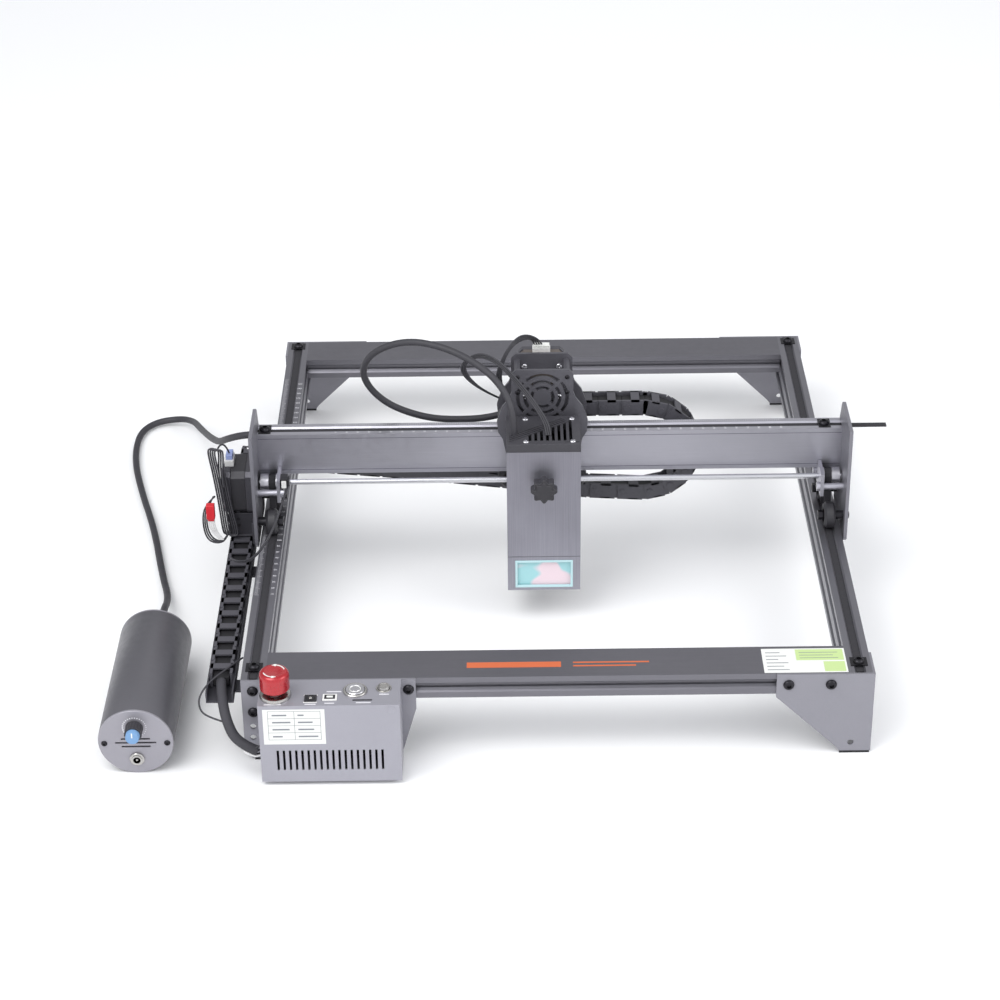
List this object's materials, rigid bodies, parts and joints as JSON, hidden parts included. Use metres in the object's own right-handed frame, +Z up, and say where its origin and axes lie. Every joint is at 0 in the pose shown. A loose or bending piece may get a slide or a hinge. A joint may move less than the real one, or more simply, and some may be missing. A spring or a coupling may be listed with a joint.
{
  "type": "desktop laser cutter",
  "caption": "Open-frame desktop laser cutter: belt-driven gantry and laser head on a slotted aluminium frame, with a control box and an air pump.",
  "frame": {"origin": "on the table, under the middle of the bounding box of all nodes but the cords", "axes": "+X to the right seen from the front, +Y to the back, +Z up"},
  "size_m": [0.7198, 0.6558, 0.2526],
  "materials": {
    "frame_aluminium": "mid grey anodised 6063 aluminium extrusion",
    "gantry_aluminium": "silver grey anodised 6063 aluminium extrusion",
    "sheet_steel": "grey powder-coated folded steel sheet",
    "dark_plate": "dark slate painted 3 mm aluminium plate",
    "box_paint": "grey powder-coated box sheet",
    "cover_metal": "brushed aluminium cover sheet",
    "steel_bolt": "zinc-plated steel screws, spacers, nuts and shafts",
    "wheel_plastic": "black polycarbonate V wheel on a steel bearing",
    "belt_rubber": "black neoprene toothed belt with glass cords",
    "chain_plastic": "black nylon cable chain with its cables inside",
    "black_plastic": "black ABS",
    "red_plastic": "red glossy ABS",
    "pump_paint": "dark grey painted aluminium tube",
    "pump_plate_paint": "lighter grey painted end plates",
    "motor_body": "black stepper motor with steel laminations",
    "pad_rubber": "black rubber edge pads",
    "shield_acrylic": "tinted orange-pink acrylic pane",
    "board_parts": "circuit board with sockets and parts",
    "sink_metal": "black anodised finned heat sink with brass lens barrel",
    "hose_rubber": "black rubber hose",
    "sleeve_plastic": "black plastic sleeve and cable jackets",
    "nickel": "nickel-plated jack and screws",
    "button_metal": "stainless push button"
  },
  "bodies": {
    "frame": {"left_rail": "frame_aluminium", "right_rail": "frame_aluminium", "cross_beams": "frame_aluminium", "corner_feet": "sheet_steel", "box_foot": "sheet_steel", "foot_pads": "pad_rubber", "frame_bolts": "steel_bolt", "y_belts": "belt_rubber", "control_box_shell": "box_paint", "box_fittings": "board_parts", "y_chain_tray": "sheet_steel", "y_chain_fixed": "chain_plastic", "pump_body": "pump_paint", "pump_end_plates": "pump_plate_paint", "pump_motor": "motor_body", "pump_jack": "nickel", "pump_hose": "hose_rubber", "cable_sleeve": "sleeve_plastic"},
    "estop_stem": {"estop_stem": "black_plastic"},
    "estop_cap": {"estop_cap": "red_plastic"},
    "power_button": {"power_button": "button_metal"},
    "reset_button": {"reset_button": "black_plastic"},
    "pump_knob": {"pump_knob": "black_plastic"},
    "gantry": {"gantry_beam": "gantry_aluminium", "gantry_plates": "sheet_steel", "shaft_bearings": "cover_metal", "y_motor": "motor_body", "gantry_belts": "belt_rubber", "gantry_fixings": "steel_bolt", "limit_switch": "black_plastic", "y_chain_moving": "chain_plastic", "x_chain_fixed": "chain_plastic", "motor_cable": "sleeve_plastic"},
    "y_chain_bend": {"y_chain_bend": "chain_plastic"},
    "sync_shaft": {"sync_shaft": "steel_bolt", "y_pulleys": "cover_metal"},
    "y_front_wheels": {"y_front_wheels": "wheel_plastic"},
    "y_rear_wheels": {"y_rear_wheels": "wheel_plastic"},
    "x_chain_bend": {"x_chain_bend": "chain_plastic"},
    "carriage": {"carriage_front_plate": "dark_plate", "carriage_rear_plate": "dark_plate", "x_motor": "motor_body", "x_belt_loop": "belt_rubber", "carriage_fixings": "steel_bolt", "x_chain_moving": "chain_plastic", "head_hose": "hose_rubber"},
    "x_pulley": {"x_pulley": "cover_metal"},
    "x_wheel_1": {"x_wheel_1": "wheel_plastic"},
    "x_wheel_2": {"x_wheel_2": "wheel_plastic"},
    "x_wheel_3": {"x_wheel_3": "wheel_plastic"},
    "x_wheel_4": {"x_wheel_4": "wheel_plastic"},
    "laser_head": {"head_housing": "cover_metal", "head_cap": "black_plastic", "head_screws": "steel_bolt", "head_shield": "black_plastic", "head_window": "shield_acrylic", "laser_module": "sink_metal"},
    "fan_rotor": {"fan_rotor": "black_plastic"},
    "clamp_knob": {"clamp_knob": "black_plastic"}
  },
  "joints": [
    {"name": "gantry_y", "type": "slide", "parent": "frame", "child": "gantry", "axis": [0, 1, 0], "range_m": [-0.16, 0.24], "deforming": ["y_chain_fixed", "y_chain_moving", "pump_hose"]},
    {"name": "carriage_x", "type": "slide", "parent": "gantry", "child": "carriage", "axis": [1, 0, 0], "range_m": [-0.19, 0.2], "deforming": ["x_chain_fixed", "x_chain_moving"]},
    {"name": "laser_focus", "type": "slide", "parent": "carriage", "child": "laser_head", "axis": [0, 0, 1], "range_m": [-0.03, 0.015], "deforming": ["head_hose"]},
    {"name": "clamp_knob_turn", "type": "hinge", "parent": "laser_head", "child": "clamp_knob", "pos_m": [0.0315, -0.0929, 0.145], "axis": [0, 1, 0], "range_deg": [0, 360]},
    {"name": "y_chain_travel", "type": "slide", "parent": "frame", "child": "y_chain_bend", "axis": [0, 1, 0], "range_m": [-0.085, 0.125]},
    {"name": "x_chain_travel", "type": "slide", "parent": "gantry", "child": "x_chain_bend", "axis": [1, 0, 0], "range_m": [-0.1, 0.105]},
    {"name": "sync_shaft_turn", "type": "hinge", "parent": "gantry", "child": "sync_shaft", "pos_m": [0.038, -0.0279, 0.116], "axis": [1, 0, 0], "range_deg": [-1391, 2086]},
    {"name": "y_front_wheels_turn", "type": "hinge", "parent": "gantry", "child": "y_front_wheels", "pos_m": [0.038, -0.0524, 0.0896], "axis": [1, 0, 0], "range_deg": [-1300, 867]},
    {"name": "y_rear_wheels_turn", "type": "hinge", "parent": "gantry", "child": "y_rear_wheels", "pos_m": [0.038, -0.0034, 0.0896], "axis": [1, 0, 0], "range_deg": [-1300, 867]},
    {"name": "x_pulley_turn", "type": "hinge", "parent": "carriage", "child": "x_pulley", "pos_m": [0.0315, -0.0079, 0.197], "axis": [0, 1, 0], "range_deg": [-1739, 1652]},
    {"name": "x_wheel_1_turn", "type": "hinge", "parent": "carriage", "child": "x_wheel_1", "pos_m": [0.0035, -0.0079, 0.1696], "axis": [0, 1, 0], "range_deg": [-1029, 1084]},
    {"name": "x_wheel_2_turn", "type": "hinge", "parent": "carriage", "child": "x_wheel_2", "pos_m": [0.0595, -0.0079, 0.1696], "axis": [0, 1, 0], "range_deg": [-1029, 1084]},
    {"name": "x_wheel_3_turn", "type": "hinge", "parent": "carriage", "child": "x_wheel_3", "pos_m": [0.0035, -0.0079, 0.1084], "axis": [0, 1, 0], "range_deg": [-1084, 1029]},
    {"name": "x_wheel_4_turn", "type": "hinge", "parent": "carriage", "child": "x_wheel_4", "pos_m": [0.0595, -0.0079, 0.1084], "axis": [0, 1, 0], "range_deg": [-1084, 1029]},
    {"name": "fan_spin", "type": "hinge", "parent": "laser_head", "child": "fan_rotor", "pos_m": [0.0315, -0.0589, 0.169], "axis": [0, 0, 1], "continuous": true},
    {"name": "estop_press", "type": "slide", "parent": "frame", "child": "estop_stem", "axis": [0, 0, 1], "range_m": [-0.003, 0], "stiffness_N_per_m": 1500},
    {"name": "estop_twist", "type": "hinge", "parent": "estop_stem", "child": "estop_cap", "pos_m": [-0.1915, -0.3129, 0.095], "axis": [0, 0, 1], "range_deg": [0, 45], "stiffness_Nm_per_rad": 0.05},
    {"name": "power_press", "type": "slide", "parent": "frame", "child": "power_button", "axis": [0, 0, 1], "range_m": [-0.001, 0], "stiffness_N_per_m": 1200},
    {"name": "reset_press", "type": "slide", "parent": "frame", "child": "reset_button", "axis": [0, 0, 1], "range_m": [-0.0015, 0], "stiffness_N_per_m": 800},
    {"name": "pump_dial_turn", "type": "hinge", "parent": "frame", "child": "pump_knob", "pos_m": [-0.3098, -0.3129, 0.0455], "axis": [0, 1, 0], "range_deg": [0, 300]}
  ],
  "couplings": [
    {"joint": "y_chain_travel", "follows": "gantry_y", "ratio": 0.5},
    {"joint": "x_chain_travel", "follows": "carriage_x", "ratio": 0.5},
    {"joint": "sync_shaft_turn", "follows": "gantry_y", "rad_per_m": 151.52},
    {"joint": "y_front_wheels_turn", "follows": "gantry_y", "rad_per_m": -94.34},
    {"joint": "y_rear_wheels_turn", "follows": "gantry_y", "rad_per_m": -94.34},
    {"joint": "x_pulley_turn", "follows": "carriage_x", "rad_per_m": -151.52},
    {"joint": "x_wheel_1_turn", "follows": "carriage_x", "rad_per_m": 94.34},
    {"joint": "x_wheel_2_turn", "follows": "carriage_x", "rad_per_m": 94.34},
    {"joint": "x_wheel_3_turn", "follows": "carriage_x", "rad_per_m": -94.34},
    {"joint": "x_wheel_4_turn", "follows": "carriage_x", "rad_per_m": -94.34}
  ]
}
